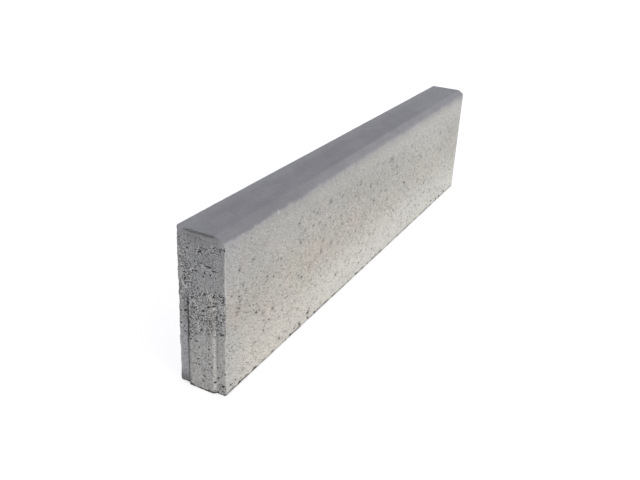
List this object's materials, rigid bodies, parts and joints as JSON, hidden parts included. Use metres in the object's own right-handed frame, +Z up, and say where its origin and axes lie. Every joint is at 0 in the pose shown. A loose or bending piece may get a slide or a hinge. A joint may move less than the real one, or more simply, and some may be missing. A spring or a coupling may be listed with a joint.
{
  "type": "concrete edging kerb stone",
  "caption": "Long upright concrete edging kerb with a chamfered top arris, a round-headed tongue on one end and the matching groove in the other.",
  "frame": {"origin": "middle of the bed: halfway between the two joint faces, halfway across, on the bed face", "axes": "+X along the kerb from the tongue end to the groove end, +Y across it from the chamfered face to the back face, +Z up"},
  "size_m": [1.0035, 0.08, 0.25],
  "materials": {
    "concrete": "dry-pressed grey concrete, matt, with small open pores"
  },
  "bodies": {
    "root": {"kerb_stone": "concrete"}
  },
  "joints": []
}
